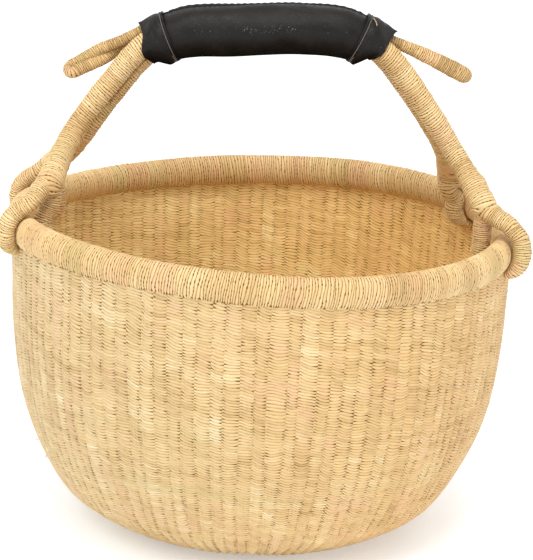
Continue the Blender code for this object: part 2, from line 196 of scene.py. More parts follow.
def between(at, known, values):
    """Each column of values, read at places between the known ones."""
    return np.stack([np.interp(at, known, column) for column in values.T], axis=-1)


def pairs(u, v):
    """The grid of all pairs of a u and a v."""
    return np.stack(np.broadcast_arrays(u[:, None], v[None, :]), axis=-1)


def corners(grid):
    """The four corners of every cell of a grid."""
    return np.stack([grid[:-1, :-1], grid[:-1, 1:], grid[1:, 1:], grid[1:, :-1]], axis=2)


class Line:
    """A curve with a length, and at each place a way along and two ways across."""

    def __init__(self, points, side_hint, closed=False):
        self.points = points
        steps = np.linalg.norm(np.diff(points, axis=0), axis=1)
        self.s = np.concatenate([[0.0], np.cumsum(steps)])
        self.length = self.s[-1]
        along = np.gradient(points, axis=0)
        if closed:
            along[0] = along[-1] = points[1] - points[-2]
        self.along = unit(along)
        hint = np.array(side_hint, float)
        across = hint - self.along * np.sum(hint * self.along, axis=1, keepdims=True)
        self.side = unit(across)
        self.up = np.cross(self.along, self.side)

    def at(self, s):
        """Place, side and up at distances s, which may be a 2-D array."""
        return [between(s, self.s, field) for field in (self.points, self.side, self.up)]


def grid_mesh(name, co, wrap_rows, uv, uv_name):
    """A closed tube from a grid of rings: co is (rings, points, 3), uv (rings+, points+1, 2)."""
    rings, count = co.shape[:2]
    index = np.arange(rings * count).reshape(rings, count)
    index = np.concatenate([index, index[:, :1]], axis=1)
    if wrap_rows:
        index = np.concatenate([index, index[:1]], axis=0)
    faces = corners(index).reshape(-1, 4).tolist()
    uvs = corners(uv).reshape(-1, 2)
    if not wrap_rows:
        faces += [index[0, :-1][::-1].tolist(), index[-1, :-1].tolist()]
        uvs = np.vstack([uvs] + [uv[:1, 0]] * count + [uv[-1:, 0]] * count)
    mesh = bpy.data.meshes.new(name)
    mesh.from_pydata(co.reshape(-1, 3), [], faces)
    mesh.uv_layers.new(name=uv_name).data.foreach_set("uv", uvs.astype(np.float32).ravel())
    mesh.shade_smooth()
    obj = bpy.data.objects.new(name, mesh)
    bpy.context.scene.collection.objects.link(obj)
    return obj


def join(name, pieces):
    """One object from several."""
    whole = pieces[0]
    with bpy.context.temp_override(active_object=whole, selected_editable_objects=pieces):
        bpy.ops.object.join()
    whole.name = whole.data.name = name
    del whole["straw_seed"]
    return whole


def slow_waves(dice, share, closed):
    """An uneven wave along a rope."""
    wave = np.zeros_like(share)
    for k in range(3):
        cycles = (3 + 4 * k) if closed else (1.3 + 1.7 * k)
        start = dice.random() * START_RANGE
        wave = wave + np.sin(2 * np.pi * cycles * share + start) / (1 + k)
    return wave


def wound(name, line, half_side, half_up, seed, pitch=TURN_PITCH, relief=0.00042, tilt=0.8,
          tilt_at=0.0, segments=24, closed=False, lump=0.0003):
    """Straw wound round a rope: every turn is a ridge, uneven in width and height.

    half_side and half_up are half sizes, as numbers or as functions of the share of length.
    """
    dice = np.random.default_rng(seed)
    turns = int(round(line.length / pitch))
    widths = np.clip(1 + 0.22 * dice.standard_normal(turns), 0.6, 1.6)
    edges = np.concatenate([[0.0], np.cumsum(widths)])
    edges *= line.length / edges[-1]
    crown = relief * (0.7 + 0.6 * dice.random(turns + 1))
    base = relief * 0.35 * dice.standard_normal(turns + 1)
    if closed:
        base[-1] = base[0]
        crown[-1] = crown[0]
    rows = turns * ROWS_PER_TURN + (0 if closed else 1)
    phase = np.arange(rows) / ROWS_PER_TURN
    theta = 2 * np.pi * np.arange(segments) / segments
    bends = np.zeros((turns + 1, segments))
    for cycles in (2, 3, 5):
        start = dice.random((turns + 1, 1)) * 2 * np.pi
        bends = bends + TURN_WANDER * np.sin(cycles * theta + start) / math.sqrt(cycles)
    if closed:
        bends[-1] = bends[0]
    whole = np.floor(phase + 1e-6)
    before = np.minimum(whole.astype(int), turns - 1)
    part = (phase - before)[:, None]
    bent = lerp(bends[before], bends[before + 1], part)
    shifted = phase[:, None] + tilt * np.sin(theta + tilt_at) + bent
    shifted = np.mod(shifted, turns) if closed else np.clip(shifted, 0.0, turns)
    s = np.interp(shifted, np.arange(turns + 1), edges)
    turn = np.minimum(whole.astype(int), turns)
    ridge = np.abs(np.sin(np.pi * (phase - whole))) ** 0.6
    lift = crown[turn] * ridge + base[turn] * ridge - relief * 0.55 * (1 - ridge)
    share = s / line.length
    lift = lift[:, None]
    if lump:
        lift = lift + lump * slow_waves(dice, share, closed)
    centre, side, up = line.at(s)
    wide = half_side(share) if callable(half_side) else half_side
    tall = half_up(share) if callable(half_up) else half_up
    co = (
        centre
        + side * ((wide + lift) * np.cos(theta))[..., None]
        + up * ((tall + lift) * np.sin(theta))[..., None]
    )
    u = np.arange(rows + 1 if closed else rows) / ROWS_PER_TURN
    v = np.arange(segments + 1) / segments
    obj = grid_mesh(name, co, closed, pairs(u, v), "turns")
    obj["straw_seed"] = float(seed)
    return obj


def cord(name, co, hint, sizes, seed, relief, segments=10, pitch=0.0014, tilt=1.0):
    """A thin thread or straw along a few places."""
    return wound(name, Line(co, hint), *sizes, seed, pitch=pitch, relief=relief, tilt=tilt,
                 segments=segments, lump=0.0)


def dress(obj, mat, body, slot, *nodes):
    """Gives a piece its material and body, and hides the CAD nodes that it stands for."""
    obj.data.materials.append(mat)
    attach(obj, body)
    if nodes:
        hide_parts(*nodes)


# Node helpers


class Shade:
    """Builds one material's node graph."""

    def __init__(self, name):
        self.mat = bpy.data.materials.new(name)
        self.mat.use_nodes = True
        self.tree = self.mat.node_tree
        self.shader = self.tree.nodes["Principled BSDF"]

    def node(self, kind, inputs=None, **props):
        made = self.tree.nodes.new(kind)
        for key, value in props.items():
            setattr(made, key, value)
        for key, value in (inputs or {}).items():
            self.put(made.inputs[key], value)
        return made

    def put(self, socket, value):
        if isinstance(value, bpy.types.NodeSocket):
            self.tree.links.new(value, socket)
        elif socket.type == "RGBA" and len(value) == 3:
            socket.default_value = (*value, 1.0)
        else:
            socket.default_value = value

    def math(self, kind, a, b=0.0, c=0.0, clamp=False):
        made = self.node("ShaderNodeMath", {0: a, 1: b, 2: c}, operation=kind, use_clamp=clamp)
        return made.outputs[0]

    def times(self, a, b, clamp=False):
        return self.math("MULTIPLY", a, b, clamp=clamp)

    def minus(self, a, b):
        return self.math("SUBTRACT", a, b)

    def times_plus(self, a, b, c, clamp=False):
        return self.math("MULTIPLY_ADD", a, b, c, clamp=clamp)

    def vector(self, x, y=0.0, z=0.0):
        return self.node("ShaderNodeCombineXYZ", {0: x, 1: y, 2: z}).outputs[0]

    def spot(self, u, per_u, v, per_v, layer):
        """A place for noise on a surface, in a layer of its own."""
        return self.vector(self.times(u, per_u), self.times(v, per_v), layer)

    def parts(self, vector):
        return self.node("ShaderNodeSeparateXYZ", {0: vector}).outputs

    def white(self, vector):
        made = self.node("ShaderNodeTexWhiteNoise", {"Vector": vector}, noise_dimensions="3D")
        return made.outputs["Value"]

    def noise(self, vector, scale=1.0, detail=3.0, rough=0.5):
        inputs = {"Vector": vector, "Scale": scale, "Detail": detail, "Roughness": rough}
        return self.node("ShaderNodeTexNoise", inputs).outputs["Fac"]

    def cloud(self, u, per_u, v, per_v, layer):
        return self.noise(self.spot(u, per_u, v, per_v, layer), detail=2.0)

    def cells(self, vector, scale):
        inputs = {"Vector": vector, "Scale": scale}
        return self.node("ShaderNodeTexVoronoi", inputs).outputs["Distance"]

    def ramp(self, fac, stops):
        made = self.node("ShaderNodeValToRGB", {"Fac": fac})
        marks = made.color_ramp.elements
        marks[0].position, marks[-1].position = stops[0][0], stops[-1][0]
        marks[0].color, marks[-1].color = (*stops[0][1], 1.0), (*stops[-1][1], 1.0)
        for place, colour in stops[1:-1]:
            marks.new(place).color = (*colour, 1.0)
        return made.outputs["Color"]

    def fit(self, value, low, high, to_low=0.0, to_high=1.0):
        inputs = {0: value, 1: low, 2: high, 3: to_low, 4: to_high}
        return self.node("ShaderNodeMapRange", inputs, interpolation_type="SMOOTHSTEP").outputs[0]

    def mix(self, fac, a, b, blend="MIX"):
        inputs = {"Factor": fac, "A": a, "B": b}
        made = self.node("ShaderNodeMix", inputs, data_type="RGBA", blend_type=blend)
        return made.outputs["Result"]

    def straw(self, tone, *sways):
        """A straw colour: tone, moved in turn by how far each value is from a half."""
        for number, (value, amount) in enumerate(sways, 1):
            last = number == len(sways)
            tone = self.times_plus(self.minus(value, 0.5), amount, tone, clamp=last)
        return self.ramp(tone, STRAW_STOPS)

    def stain(self, colour, value, low, high, most, tint):
        """colour, with up to a share of tint where value is high."""
        return self.mix(self.fit(value, low, high, 0.0, most), colour, tint)

    def uv(self, layer):
        return self.parts(self.node("ShaderNodeUVMap", uv_map=layer).outputs[0])[:2]

    def bump(self, height, distance, strength=1.0):
        inputs = {"Height": height, "Distance": distance, "Strength": strength}
        return self.node("ShaderNodeBump", inputs).outputs[0]

    def surface(self, colour, rough, normal, shine):
        return self.finish(
            Base_Color=colour, Roughness=rough, Normal=normal, Specular_IOR_Level=shine
        )

    def finish(self, **values):
        for key, value in values.items():
            self.put(self.shader.inputs[key.replace("_", " ")], value)
        return self.mat


STRAW_STOPS = (
    (0.0, (0.47, 0.30, 0.12)),
    (0.18, (0.60, 0.40, 0.17)),
    (0.45, (0.70, 0.48, 0.22)),
    (0.72, (0.76, 0.55, 0.27)),
    (0.9, (0.82, 0.63, 0.35)),
    (1.0, (0.86, 0.69, 0.42)),
)
WHITE = (1.0, 1.0, 1.0)
# Painted shade: the tint of the grooves between rows
LINE_SHADE_TINT = (0.57, 0.44, 0.29)
PINK_STRAW = (0.74, 0.45, 0.25)
GREEN_STRAW = (0.52, 0.42, 0.16)
# Colours painted as shade in gaps, slots and holes: dark, and brown where rows part
PAINTED_GAP_SHADE = (0.17, 0.078, 0.018)
GAP_SHADE_BROWN = (0.30, 0.175, 0.07)
NO_EDGE = -5.0
EULER = 2.7183


def wound_straw(name, tone, dashes, edge_at=NO_EDGE):
    """Straw turns: each twisted as it is wound, so dark slots open between neighbours.

    edge_at is the share of the way round where the turns dive into the wall; a painted
    contact shadow darkens that line. The dark slots and the grooves are painted shade.
    """
    g = Shade(name)
    u, v = g.uv("turns")
    seed = g.node("ShaderNodeAttribute", attribute_type="OBJECT", attribute_name="straw_seed")
    seed = seed.outputs["Fac"]
    turn, within, near = (g.math(kind, u) for kind in ("FLOOR", "FRACT", "ROUND"))
    own = g.white(g.vector(turn, seed, 1.7))
    length = g.math("FLOOR", g.math("DIVIDE", g.times_plus(own, 2.0, turn), 9.0))
    patch = g.white(g.vector(length, seed, 5.1))
    twist = g.times_plus(within, 0.35, g.times(v, dashes * 0.5))
    fibres = g.noise(g.spot(u, 4.0, twist, 1.3, seed))
    blotch = g.cloud(u, 0.07, v, 1.5, seed)
    colour = g.straw(tone, (own, 0.24), (patch, 0.40), (fibres, 0.5), (blotch, 0.45))
    pink = g.white(g.vector(length, seed, 9.3))
    colour = g.stain(colour, pink, 0.72, 0.95, 0.42, PINK_STRAW)
    green = g.white(g.vector(length, seed, 2.9))
    colour = g.stain(colour, green, 0.84, 0.97, 0.4, GREEN_STRAW)
    crown = g.math("SINE", g.times(within, math.pi))
    # Painted shade: each turn darker towards its edges and lighter on its crown
    shade = g.mix(g.fit(crown, 0.0, 0.7), (0.62, 0.50, 0.36), WHITE)
    colour = g.mix(1.0, colour, shade, "MULTIPLY")
    # Painted shade: dark slots of uneven size along the groove between two turns,
    # and a painted contact shadow where the turns dive into the wall
    shift = g.white(g.vector(near, seed, 4.4))
    slot_at = g.times_plus(v, dashes, shift)
    slot_size = g.white(g.vector(near, g.math("FLOOR", slot_at), seed))
    slot = g.math("SINE", g.times(g.math("FRACT", slot_at), math.pi))
    slot = g.times(g.math("POWER", slot, 1.5), g.fit(slot_size, 0.15, 0.9))
    seam = g.times(g.minus(v, edge_at), 40.0)
    seam = g.math("POWER", EULER, g.times(g.times(seam, seam), -1.0))
    seam = g.times(seam, g.fit(shift, 0.1, 0.7, 0.25, 1.0))
    reach = g.times_plus(slot, 0.62, 0.02)
    reach = g.times_plus(seam, 0.75, reach)
    dark = g.fit(g.minus(reach, crown), -0.08, 0.20, 0.0, 0.92)
    # The painted shade goes on in the dark gap colour
    colour = g.mix(dark, colour, PAINTED_GAP_SHADE)
    height = g.times_plus(fibres, 0.3, g.math("POWER", crown, 0.5))
    height = g.minus(height, g.times(dark, 0.6))
    rough = g.fit(fibres, 0.2, 0.8, 0.42, 0.62)
    return g.surface(colour, rough, g.bump(height, 0.0004, 0.9), g.fit(dark, 0.0, 0.6, 0.40, 0.0))


def float_tones(g, tone, u, v, row, owner, middle):
    """Tones of each float, each straw's run over nine stakes, its fibres, patches and bands."""
    own = g.white(g.vector(row, owner, 8.8))
    strand_start = g.white(g.vector(row, 0.5, 3.1))
    run = g.math("FLOOR", g.math("DIVIDE", g.times_plus(strand_start, 31.0, owner), 9.0))
    strand = g.white(g.vector(row, 0.5, run))
    fibres = g.noise(g.vector(g.times(u, 2.6), g.times(middle, 4.0), g.times(row, 1.37)))
    patches = g.cloud(owner, 0.83, v, 0.05, 0.5)
    bands = g.noise(g.spot(u, 0.035, v, 0.11, 7.5))
    sways = ((own, 0.26), (strand, 0.30), (fibres, 0.62), (patches, 1.15), (bands, 0.5))
    colour = g.straw(tone, *sways)
    blush = g.times_plus(strand, 0.2, g.cloud(owner, 0.61, v, 0.06, 3.3))
    colour = g.stain(colour, blush, 0.62, 0.85, 0.55, PINK_STRAW)
    colour = g.stain(colour, g.times_plus(own, 0.12, bands), 0.64, 0.8, 0.3, GREEN_STRAW)
    return colour, fibres


def float_gaps(g, colour, u, v, stepped, near_line, side, indoors):
    """Painted shade: the lines between rows, a dark dash by each stake, and gaps along them."""
    line_id = g.math("ROUND", stepped)
    end_id = g.math("FLOOR", g.times(u, 2.0))
    dash_own = g.math("POWER", g.white(g.vector(line_id, end_id, 6.6)), 1.5)
    loose = g.noise(g.spot(u, 0.27, v, 0.23, 2.2))
    open_ = g.times_plus(dash_own, 0.42, g.fit(loose, 0.3, 0.7, 0.0, 0.21))
    edge = g.fit(side, 0.25, 0.90)
    # Painted shadow: a dark dash where a float dives beside each stake
    painted_hole_shade = g.fit(g.math("ADD", near_line, g.times_plus(edge, open_, 0.03)), 0.96, 1.12)
    painted_hole_shade = g.times(painted_hole_shade, g.fit(g.times(edge, open_), 0.02, 0.45, 0.10, 0.84))
    # Painted shade in the groove between rows, stronger inside the bowl
    painted_line_shade = g.times_plus(indoors, 0.40, g.fit(loose, 0.3, 0.7, 0.45, 0.95))
    painted_line_shade = g.times(painted_line_shade, g.fit(g.cloud(u, 1.9, line_id, 1.37, 4.4), 0.36, 0.62, 0.40, 1.15))
    painted_line_shade = g.times(painted_line_shade, g.fit(side, 0.0, 0.7, 0.6, 1.05))
    painted_line_shade = g.times(g.fit(near_line, 0.45, 1.0), painted_line_shade, clamp=True)
    colour = g.mix(1.0, colour, g.mix(painted_line_shade, WHITE, LINE_SHADE_TINT), "MULTIPLY")
    colour = g.mix(painted_hole_shade, colour, PAINTED_GAP_SHADE)
    # Painted shade: brown where the rows part along the line
    parted_gap_shade = g.fit(g.cloud(u, 3.1, line_id, 2.31, 9.6), 0.57, 0.70, 0.0, 0.62)
    return g.mix(g.times(parted_gap_shade, g.fit(near_line, 0.62, 1.0)), colour, GAP_SHADE_BROWN), painted_hole_shade


def wall_light(g, indoors):
    """Painted light: gold on one side of the wall and grey on the other, for the colour of the
    light from each side, and paler inside to lift the shade in the bowl.
    """
    east = g.parts(g.node("ShaderNodeNewGeometry").outputs["Position"])[0]
    painted_light_colour = g.mix(g.fit(east, -0.17, 0.17), (0.93, 0.97, 1.01), (1.01, 0.955, 0.86))
    painted_inside_light = g.mix(indoors, (0.98, 0.98, 1.0), (1.26, 1.31, 1.22))
    return g.mix(1.0, painted_inside_light, painted_light_colour, "MULTIPLY")


def twined_straw(name, tone):
    """Twined floats falling right over each stake, with dashes of painted shade where they dive.
    """
    g = Shade(name)
    u, v = g.uv("weave")
    indoors = g.math("GREATER_THAN", u, INSIDE_OFFSET / 2)
    u = g.times(u, g.times_plus(indoors, -2.0, 1.0))
    owner = g.math("FLOOR", u)
    fallen = g.minus(1.0, g.math("POWER", g.minus(1.0, g.math("FRACT", u)), FLOAT_BEND))
    stepped = g.times_plus(fallen, FLOAT_FALL, g.times_plus(owner, COLUMN_STEP, v))
    row = g.math("FLOOR", stepped)
    middle = g.minus(g.math("FRACT", stepped), 0.5)
    off = g.times(g.minus(g.math("FRACT", u), 0.5), 2.0)
    side = g.math("ABSOLUTE", off)
    near_line = g.times(g.math("ABSOLUTE", middle), 2.0)
    colour, fibres = float_tones(g, tone, u, v, row, owner, middle)
    colour, painted_hole_shade = float_gaps(g, colour, u, v, stepped, near_line, side, indoors)
    # Painted light over the wall's colour: side to side, and paler inside
    colour = g.mix(1.0, colour, wall_light(g, indoors), "MULTIPLY")
    # Each float is a lens, low at its ends and where it meets the next row
    lens = g.minus(1.0, g.times(g.times(off, off), 0.75))
    crown = g.minus(1.0, g.times(g.times(near_line, near_line), 0.9))
    height = g.times(g.math("SQRT", lens), g.math("SQRT", crown))
    relief = g.bump(g.times_plus(fibres, 0.2, height), 0.0006, 0.8)
    rough = g.fit(fibres, 0.2, 0.8, 0.45, 0.65)
    return g.surface(colour, rough, relief, g.fit(painted_hole_shade, 0.0, 0.6, 0.36, 0.0))


def worn_leather(name):
    """Smooth black leather with fine grain and soft wrinkles. Pale specks along the middle are
    worn scuffs, and painted highlight glints along the front.
    """
    g = Shade(name)
    place = g.node("ShaderNodeNewGeometry").outputs["Position"]
    east = g.parts(place)[0]
    v = g.uv("leather")[1]
    grain = g.cells(place, 1400.0)
    wrinkle = g.noise(place, 120.0, 5.0, 0.6)
    speck_at = g.spot(east, 1000.0, v, 90.0, 0.5)
    scuffs_and_glints = g.fit(g.cells(speck_at, 1.0), 0.16, 0.38, 1.0, 0.0)
    # Painted highlight: the specks only show in a band round the front, near the grip's middle
    highlight_band = g.fit(g.math("ABSOLUTE", g.minus(v, 0.470)), 0.0, 0.036, 1.0, 0.0)
    middle = g.fit(g.math("ABSOLUTE", g.minus(east, 0.002)), 0.012, 0.034, 1.0, 0.0)
    broken = g.times_plus(middle, 0.16, g.noise(speck_at, 0.35, 2.0))
    scuffs_and_glints = g.times(scuffs_and_glints, g.times(highlight_band, g.fit(broken, 0.60, 0.74)))
    colour = g.ramp(g.noise(place, 60.0, 4.0, 0.6), (
        (0.25, (0.006, 0.0050, 0.0044)),
        (0.6, (0.012, 0.0100, 0.0088)),
        (0.85, (0.024, 0.0195, 0.016)),
    ))
    # Pale specks: partly worn scuffs, partly painted highlight
    colour = g.mix(g.times(scuffs_and_glints, 0.8), colour, (0.34, 0.32, 0.29))
    facing = g.parts(g.node("ShaderNodeNewGeometry").outputs["Normal"])[2]
    height = g.times_plus(wrinkle, 1.6, g.times(grain, 0.5))
    height = g.times_plus(scuffs_and_glints, -0.9, height)
    rough = g.fit(wrinkle, 0.3, 0.7, 0.30, 0.50)
    shine = g.fit(facing, -0.75, 0.05, 0.0, 0.19)
    return g.surface(colour, rough, g.bump(height, 0.0004, 0.8), shine)


def thread_stuff(name, dark, pale):
    """Two-ply thread: twist lines from stripes along its own turns."""
    g = Shade(name)
    u, v = g.uv("turns")
    twist = g.math("FRACT", g.math("ADD", u, v))
    ply = g.math("SINE", g.times(twist, math.pi))
    fuzz = g.noise(g.vector(g.times(u, 3.0), v, 0.3), 2.0, 2.0)
    colour = g.mix(g.times(ply, fuzz, clamp=True), dark, pale)
    return g.finish(Base_Color=colour, Roughness=0.7, Normal=g.bump(ply, 0.0002, 0.8))


# Bowl

FLOAT_FALL = 0.85
FLOAT_BEND = 1.5
COLUMN_STEP = 0.375
INSIDE_OFFSET = 1024.0
FLOAT_RELIEF = 0.0011
RIB_RELIEF = 0.0009
BASE_RIB_RELIEF = 0.0016
STRAY_FIBRES = 70
FIBRE_SIZES = (0.00024, 0.00016)
WALL_WAVES = 14


def float_height(u, v):
    """Relief of the twined floats, each falling to the right across its own column."""
    column = np.floor(u)
    off = 2 * (u - column) - 1
    fallen = 1 - (1 - (u - column)) ** FLOAT_BEND
    stepped = v + column * COLUMN_STEP + fallen * FLOAT_FALL
    middle = 2 * (stepped - np.floor(stepped)) - 1
    return np.sqrt(1 - 0.9 * middle**2) * (1 - 0.3 * off**4)


def outline():
    """The bowl's outer outline, from the base's middle out and up to the rim."""
    side = dense_curve([(r, share * RIM_HEIGHT) for share, r in OUTSIDE], 30)
    side = np.vstack([side, [[OUTSIDE[-1][1], WEAVE_TOP]]])
    base = np.stack([np.linspace(0.0, OUTSIDE[0][1], 40, endpoint=False), np.zeros(40)], axis=1)
    return np.vstack([base, side])


def wandering(share, v, seed, size, climb):
    """A slow uneven wave over the wall, the same after a whole turn."""
    dice = np.random.default_rng(seed)
    out = np.zeros(np.broadcast(share, v).shape)
    for _ in range(WALL_WAVES):
        cycles = dice.integers(4, 56)
        slope = climb * (dice.random() - 0.5)
        start = dice.random() * START_RANGE
        out = out + np.sin(2 * np.pi * cycles * share + slope * v + start)
    return out * size


def resampled(path, step):
    s = np.concatenate([[0.0], np.cumsum(np.linalg.norm(np.diff(path, axis=0), axis=1))])
    count = int(round(s[-1] / step))
    at = np.linspace(0.0, s[-1], count + 1)
    return between(at, s, path), at


def columns_at(radius):
    """Fewer stakes reach the middle of the base: their number halves on the way in."""
    count = np.full(radius.shape, float(COLUMNS))
    for limit in (0.062, 0.031, 0.0155):
        count = np.where(radius < limit, count / 2, count)
    return count


def weave_side(outward, rows_per_sample, sign):
    """Points and weave coordinates of one face of the bowl, centre first."""
    path, at = resampled(outward, ROW_PITCH * rows_per_sample)
    keep = path[:, 0] > 0.003
    path, at = path[keep], at[keep]
    normal = unit(np.stack([np.gradient(path[:, 1]), -np.gradient(path[:, 0])], axis=1)) * sign
    samples = COLUMNS * COLUMN_SAMPLES
    share = np.arange(samples) / samples
    count = columns_at(path[:, 0])
    whole = (np.arange(samples + 1) / samples)[None, :]
    calm = smoothstep(0.06, 0.09, path[:, :1])
    rows = at[:, None] / ROW_PITCH
    v = rows + wandering(whole, rows, seed=3, size=0.14, climb=0.8) * calm
    across = wandering(whole, rows, seed=5, size=0.024, climb=0.16)
    u = whole * count[:, None] + across * calm
    relief = float_height(u * sign, v)[:, :-1] - 0.75
    fade_middle = smoothstep(0.0, 0.012, path[:, 0])[:, None]
    rib = np.sin(np.pi * u)[:, :-1] ** 2 - 0.5
    edge = np.exp(-(((path[:, 1] - 0.008) / 0.02) ** 2)) * smoothstep(0.07, 0.1, path[:, 0])
    rib_size = RIB_RELIEF + (BASE_RIB_RELIEF if sign > 0 else 0.0) * edge
    out = (relief * FLOAT_RELIEF + rib * rib_size[:, None]) * fade_middle
    angle = 2 * np.pi * share
    wobble = 0.0007 * np.sin(5 * angle + 1.1) + 0.0005 * np.sin(9 * angle + path[:, 1:] * 30)
    wobble = wobble * smoothstep(0.02, 0.07, path[:, 1:])
    wobble = wobble * smoothstep(WEAVE_TOP, 0.19, path[:, 1:])
    radius = path[:, :1] + normal[:, :1] * out + wobble
    z = path[:, 1:] + normal[:, 1:] * out
    co = np.stack([radius * np.cos(angle), radius * np.sin(angle), z], axis=-1)
    co[..., 2] += saddle(co[..., 0], co[..., 1], co[..., 2])
    return co, np.stack([u, v], axis=-1)


def make_bowl(mat):
    outer_path = outline()
    tangent = unit(np.gradient(outer_path, axis=0))
    inner_path = outer_path + np.stack([-tangent[:, 1], tangent[:, 0]], axis=1) * WALL_THICKNESS
    inner_path = inner_path[inner_path[:, 0] > 0.001]
    inner_path[:, 0] = np.maximum.accumulate(inner_path[:, 0])
    outer, outer_uv = weave_side(outer_path, 1 / 3, 1.0)
    inner, inner_uv = weave_side(inner_path, 1 / 2, -1.0)
    # From the base's middle up the outside, over the hidden top edge, down the inside
    co = np.concatenate([outer, inner[::-1]], axis=0)
    inner_uv[..., 0] += INSIDE_OFFSET
    uv = np.concatenate([outer_uv, inner_uv[::-1]], axis=0)
    co[0, :, 2] = co[0, :, 2].mean()
    co[-1, :, 2] = co[-1, :, 2].mean()
    lowest = co[..., 2].min()
    co[..., 2] -= min(lowest, 0.0) * np.clip(1 - co[..., 2] / 0.03, 0.0, 1.0)
    bowl = grid_mesh("woven_bowl", co, False, uv, "weave")
    dress(bowl, mat, "basket", "straw_weave", "bowl_weave")


def make_stray_fibres(mat):
    """Loose ends of straw that stand off the weave here and there."""
    dice = np.random.default_rng(77)
    path, _ = resampled(outline(), 0.001)
    wall = path[path[:, 1] > 0.004]
    t = np.linspace(0.0, 1.0, 7)
    pieces = []
    for number in range(STRAY_FIBRES):
        radius, height = wall[dice.integers(4, len(wall) - 22)]
        start = dice.random() * 2 * math.pi
        length = 0.004 + 0.008 * dice.random()
        heading = 1.7 * (dice.random() - 0.5)
        z = height + length * math.sin(heading) * t
        lift = 0.0004 + (0.0012 + 0.0020 * dice.random()) * t**1.5
        r = np.interp(z, wall[:, 1], wall[:, 0]) + lift
        angle = start + length * math.cos(heading) * t / radius
        co = np.stack([r * np.cos(angle), r * np.sin(angle), z], axis=1)
        co[:, 2] += saddle(co[:, 0], co[:, 1], z)
        pieces.append(cord("fibre", co, UP, FIBRE_SIZES, seed=200 + number, relief=0.00003,
                           segments=6, pitch=0.0012, tilt=0.6))
    dress(join("stray_fibres", pieces), mat, "basket", "straw_weave")


# Rim


def rim_line():
    angle = np.linspace(0.0, 2 * np.pi, 721)
    x = RIM_RADIUS * np.cos(angle)
    y = RIM_RADIUS * np.sin(angle)
    z = RIM_HEIGHT + saddle(x, y, np.full_like(x, RIM_HEIGHT))
    hint = np.stack([np.cos(angle), np.sin(angle), 0 * angle], axis=1)
    return Line(np.stack([x, y, z], axis=1), hint, closed=True)


def make_rim(mat):
    rim = wound("wound_rim", rim_line(), RIM_HALF_WIDTH - SKIN, RIM_HALF_HEIGHT - SKIN,
                seed=11, pitch=RIM_PITCH, tilt=-0.6, segments=36, closed=True, lump=0.0004)
    dress(rim, mat, "basket", "straw_wrap", "rim_wrap", "rim_core")


# Handle paths


def arch_line():
    curve = dense_curve([(x, 0.0, z) for x, z in ARCH], 24)
    along = unit(np.gradient(curve, axis=0))
    normal = np.stack([-along[:, 2], np.zeros(len(curve)), along[:, 0]], axis=1)
    return curve, normal


ARCH_CURVE, ARCH_NORMAL = arch_line()


def arch_at(x):
    """The middle of the arch at each x, and the way up from it."""
    places = ARCH_CURVE[:, 0]
    return between(x, places, ARCH_CURVE), unit(between(x, places, ARCH_NORMAL))


def on_arch(x, depth, lift):
    x = np.atleast_1d(x)
    place, normal = arch_at(x)
    place = place + normal * (lift + 0 * x)[:, None]
    place[:, 1] += depth
    return place


def rim_point(bearing, across, up):
    turn = math.radians(bearing)
    x = (RIM_RADIUS + across) * math.cos(turn)
    y = (RIM_RADIUS + across) * math.sin(turn)
    return np.array([x, y, RIM_HEIGHT + up + float(saddle(x, y, RIM_HEIGHT))])


def leg_thickness(degrees):
    below = max(0.0, -math.sin(math.radians(degrees)))
    return lerp(LEG_THICKNESS, TUCKED_THICKNESS, below**2)


def leg_place(bearing, degrees):
    """A place on a loop that goes round the rim's oval section."""
    t = math.radians(degrees)
    normal = unit(np.array([math.cos(t) / RIM_HALF_WIDTH, math.sin(t) / RIM_HALF_HEIGHT]))
    reach = leg_thickness(degrees) + 0.0009
    across = RIM_HALF_WIDTH * math.cos(t) + normal[0] * reach
    up = RIM_HALF_HEIGHT * math.sin(t) + normal[1] * reach
    return rim_point(bearing, across, up)


def fork_x(side):
    return ARCH[1][0] if side == "left" else ARCH[-2][0]


def crotch_place(loop):
    """The middle of a neck where its two legs part."""
    return rim_point(lerp(loop.inner, loop.outer, 0.4), loop.across, loop.up + 0.0015)


def loop_curve(name):
    """Out of the neck, over the rim, through the wall below it and up into the neck."""
    loop = LOOPS[name]
    across, up = loop.across, loop.up
    middle = lerp(loop.inner, loop.outer, 0.5)
    outer = loop.outer + loop.outer_shift
    side, depth = name.split("_")
    sign = BACKWARD[depth]
    fork = on_arch([fork_x(side)], sign * PAIR_DEPTH[side], 0.0)[0]
    hidden = lerp(crotch_place(loop), fork, 0.3)
    path = [hidden, rim_point(middle, across + loop.outer_spread, up + loop.rise)]
    first = leg_place(outer, LEG_TURNS[0])
    over = rim_point(outer, across + loop.over, up - loop.over_drop)
    path.append(lerp(over, first, 0.35))
    for degrees in LEG_TURNS:
        bearing = lerp(outer, loop.inner, min(1.0, max(0.0, -degrees / 90.0)))
        place = leg_place(bearing, degrees)
        loose = loop.slack * max(0.0, math.sin(math.radians(min(degrees + 30.0, 90.0))))
        ray = math.radians(bearing)
        path.append(place + loose * np.array([0.3 * math.cos(ray), 0.3 * math.sin(ray), 0.8]))
    inward = across - loop.inner_spread
    path.append(rim_point(loop.inner, lerp(-0.0168, inward, 0.6), up - 0.014))
    path.append(rim_point(loop.inner, inward + 0.0005, up))
    path.append(hidden)
    return dense_curve(path, 20)


def off_the_rim(curve):
    """How far each place lies outside the rim's oval section."""
    x, y, z = curve.T
    across = np.hypot(x, y) - RIM_RADIUS
    up = z - RIM_HEIGHT - saddle(x, y, np.full_like(x, RIM_HEIGHT))
    turn = np.arctan2(up / RIM_HALF_HEIGHT, across / RIM_HALF_WIDTH)
    return np.hypot(across - RIM_HALF_WIDTH * np.cos(turn), up - RIM_HALF_HEIGHT * np.sin(turn))


